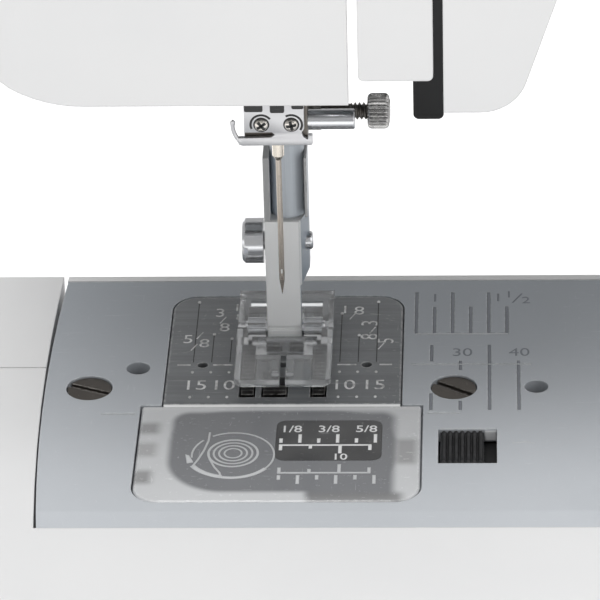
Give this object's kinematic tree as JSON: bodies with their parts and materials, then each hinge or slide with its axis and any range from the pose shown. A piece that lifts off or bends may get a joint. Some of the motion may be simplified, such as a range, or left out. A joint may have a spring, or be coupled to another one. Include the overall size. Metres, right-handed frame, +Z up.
{
  "type": "sewing machine",
  "caption": "Free-arm household sewing machine with drop-in bobbin, clear foot, removable extension table and working drive, presser, feed and control joints.",
  "frame": {"origin": "centre of the machine's bounding box in plan, on the surface it stands on", "axes": "+X to the operator's right, towards the handwheel; +Y away from the operator; +Z up"},
  "size_m": [0.418, 0.166, 0.303],
  "materials": {
    "casing_white": "smooth light grey-white moulded plastic, satin gloss",
    "satin_plate": "satin grey metal plate with engraved guides",
    "insert_steel": "brushed steel, darker than the plate around it",
    "bright_steel": "polished plated steel",
    "shaft_steel": "ground steel rod",
    "dark_steel": "dark plated steel",
    "ankle_paint": "light warm grey coated casting",
    "black_plastic": "black moulded plastic",
    "grey_plastic": "mid grey moulded plastic",
    "clear_plastic": "clear moulded plastic",
    "smoked_plastic": "clear cover, frosted from below",
    "belt_rubber": "toothed and ribbed belts",
    "foot_rubber": "moulded rubber",
    "frame_cast": "die-cast frame",
    "motor_steel": "painted motor can",
    "lamp_white": "lamp lens",
    "screen_glass": "display window",
    "panel_grey": "control panel"
  },
  "bodies": {
    "machine": {"base_shell": "casing_white", "free_arm_shell": "casing_white", "rubber_feet": "foot_rubber", "bed_plate": "satin_plate", "needle_plate": "insert_steel", "plate_screws": "dark_steel", "hook_race": "dark_steel", "bobbin_holder": "black_plastic", "front_cover": "casing_white", "rear_cover": "casing_white", "casing_screws": "dark_steel", "top_cover": "casing_white", "face_cover": "casing_white", "tension_cover": "casing_white", "tension_discs": "bright_steel", "thread_guide": "casing_white", "main_frame": "frame_cast", "motor": "motor_steel", "drive_belts": "belt_rubber", "led_lamp": "lamp_white", "control_panel": "panel_grey", "display_screen": "screen_glass", "spool_pin": "casing_white", "power_inlet": "black_plastic"},
    "wheel_shaft": {"main_shaft": "shaft_steel", "handwheel": "casing_white"},
    "under_shaft": {"lower_shaft": "shaft_steel"},
    "hook": {"rotary_hook": "bright_steel"},
    "thread_bobbin": {"bobbin": "clear_plastic"},
    "needle_slide": {"needle_bar": "shaft_steel", "needle_clamp": "dark_steel", "needle": "bright_steel", "threader_plate": "shaft_steel", "threader_screws": "dark_steel"},
    "clamp_screw": {"needle_clamp_screw": "dark_steel"},
    "take_up": {"take_up_lever": "bright_steel"},
    "presser_slide": {"presser_bar": "shaft_steel", "foot_ankle": "ankle_paint"},
    "foot": {"presser_foot": "clear_plastic", "foot_pin": "bright_steel"},
    "thumb_screw": {"ankle_screw": "bright_steel"},
    "lifter": {"presser_lifter": "black_plastic"},
    "hook_cover": {"bobbin_cover": "smoked_plastic"},
    "latch": {"cover_latch": "black_plastic"},
    "feed_slide": {"feed_carrier": "dark_steel"},
    "feed_teeth": {"feed_dog": "dark_steel"},
    "table": {"extension_table": "casing_white"},
    "lid": {"table_lid": "casing_white"},
    "handle": {"carrying_handle": "casing_white"},
    "dial": {"tension_dial": "grey_plastic"},
    "start": {"start_button": "casing_white"},
    "reverse": {"reverse_button": "casing_white"},
    "needle_up_down": {"needle_button": "casing_white"},
    "speed": {"speed_slider": "grey_plastic"},
    "winder": {"winder_spindle": "bright_steel"},
    "cap": {"spool_cap": "casing_white"},
    "switch": {"power_switch": "black_plastic"},
    "drop": {"feed_drop_lever": "grey_plastic"},
    "threader": {"threader_lever": "grey_plastic"},
    "buttonhole": {"buttonhole_lever": "grey_plastic"}
  },
  "joints": [
    {"name": "handwheel_turn", "type": "hinge", "parent": "machine", "child": "wheel_shaft", "pos_m": [-0.081, 0.008, 0.238], "axis": [1, 0, 0], "continuous": true},
    {"name": "lower_shaft_turn", "type": "hinge", "parent": "machine", "child": "under_shaft", "pos_m": [-0.081, 0.0002, 0.037], "axis": [1, 0, 0], "continuous": true},
    {"name": "hook_spin", "type": "hinge", "parent": "machine", "child": "hook", "pos_m": [-0.081, -0.0145, 0.073], "axis": [0, 0, 1], "continuous": true},
    {"name": "bobbin_spin", "type": "hinge", "parent": "machine", "child": "thread_bobbin", "pos_m": [-0.081, -0.0145, 0.073], "axis": [0, 0, 1], "continuous": true},
    {"name": "needle_bar_slide", "type": "slide", "parent": "machine", "child": "needle_slide", "axis": [0, 0, 1], "range_m": [-0.031, 0]},
    {"name": "take_up_swing", "type": "hinge", "parent": "machine", "child": "take_up", "pos_m": [-0.081, 0.018, 0.223], "axis": [1, 0, 0], "range_deg": [0, 52]},
    {"name": "clamp_screw_turn", "type": "hinge", "parent": "needle_slide", "child": "clamp_screw", "pos_m": [-0.081, 0.0068, 0.122], "axis": [1, 0, 0], "continuous": true},
    {"name": "lifter_turn", "type": "hinge", "parent": "machine", "child": "lifter", "pos_m": [-0.0558, 0.018, 0.161], "axis": [0, -1, 0], "range_deg": [0, 65]},
    {"name": "presser_bar_slide", "type": "slide", "parent": "machine", "child": "presser_slide", "axis": [0, 0, 1], "range_m": [0, 0.0076]},
    {"name": "foot_tilt", "type": "hinge", "parent": "presser_slide", "child": "foot", "pos_m": [-0.081, 0.0123, 0.077], "axis": [1, 0, 0], "range_deg": [-3, 3]},
    {"name": "thumb_screw_turn", "type": "hinge", "parent": "presser_slide", "child": "thumb_screw", "pos_m": [-0.081, 0.0145, 0.093], "axis": [1, 0, 0], "continuous": true},
    {"name": "bobbin_cover_lift", "type": "slide", "parent": "machine", "child": "hook_cover", "axis": [0, 0, 1], "range_m": [0, 0.03]},
    {"name": "latch_slide", "type": "slide", "parent": "machine", "child": "latch", "axis": [1, 0, 0], "range_m": [0, 0.0018], "stiffness_N_per_m": 400},
    {"name": "feed_slide_back", "type": "slide", "parent": "machine", "child": "feed_slide", "axis": [0, 1, 0], "range_m": [-0.0015, 0.0015]},
    {"name": "feed_lift", "type": "slide", "parent": "feed_slide", "child": "feed_teeth", "axis": [0, 0, 1], "range_m": [-0.003, 0.0007]},
    {"name": "table_slide", "type": "slide", "parent": "machine", "child": "table", "axis": [1, 0, 0], "range_m": [-0.12, 0]},
    {"name": "lid_turn", "type": "hinge", "parent": "table", "child": "lid", "pos_m": [-0.081, -0.08175, 0.06025], "axis": [1, 0, 0], "range_deg": [0, 100]},
    {"name": "handle_turn", "type": "hinge", "parent": "machine", "child": "handle", "pos_m": [-0.081, 0.0775, 0.259], "axis": [1, 0, 0], "range_deg": [0, 180]},
    {"name": "tension_dial_turn", "type": "hinge", "parent": "machine", "child": "dial", "pos_m": [-0.081, -0.0245, 0.233], "axis": [1, 0, 0], "range_deg": [-150, 150]},
    {"name": "start_press", "type": "slide", "parent": "machine", "child": "start", "axis": [0, 1, 0], "range_m": [0, 0.0012], "stiffness_N_per_m": 400},
    {"name": "reverse_press", "type": "slide", "parent": "machine", "child": "reverse", "axis": [0, 1, 0], "range_m": [0, 0.0012], "stiffness_N_per_m": 400},
    {"name": "needle_press", "type": "slide", "parent": "machine", "child": "needle_up_down", "axis": [0, 1, 0], "range_m": [0, 0.0012], "stiffness_N_per_m": 400},
    {"name": "speed_slide", "type": "slide", "parent": "machine", "child": "speed", "axis": [1, 0, 0], "range_m": [0, 0.03]},
    {"name": "winder_spin", "type": "hinge", "parent": "machine", "child": "winder", "pos_m": [0.152, 0.04, 0.073], "axis": [0, 0, 1], "continuous": true},
    {"name": "spool_cap_slide", "type": "slide", "parent": "machine", "child": "cap", "axis": [1, 0, 0], "range_m": [-0.06, 0.01]},
    {"name": "switch_rock", "type": "hinge", "parent": "machine", "child": "switch", "pos_m": [0.177, 0.003, 0.073], "axis": [0, 0, 1], "range_deg": [0, 11]},
    {"name": "feed_drop_slide", "type": "slide", "parent": "machine", "child": "drop", "axis": [1, 0, 0], "range_m": [0, 0.012]},
    {"name": "threader_press", "type": "slide", "parent": "machine", "child": "threader", "axis": [0, 0, 1], "range_m": [-0.024, 0], "stiffness_N_per_m": 60, "springref_m": 0.003},
    {"name": "buttonhole_pull", "type": "slide", "parent": "machine", "child": "buttonhole", "axis": [0, 0, 1], "range_m": [-0.022, 0]}
  ],
  "couplings": [
    {"joint": "lower_shaft_turn", "follows": "handwheel_turn", "ratio": 1},
    {"joint": "hook_spin", "follows": "handwheel_turn", "ratio": 2},
    {"joint": "take_up_swing", "follows": "needle_bar_slide", "rad_per_m": -28},
    {"joint": "lifter_turn", "follows": "presser_bar_slide", "rad_per_m": 149}
  ]
}
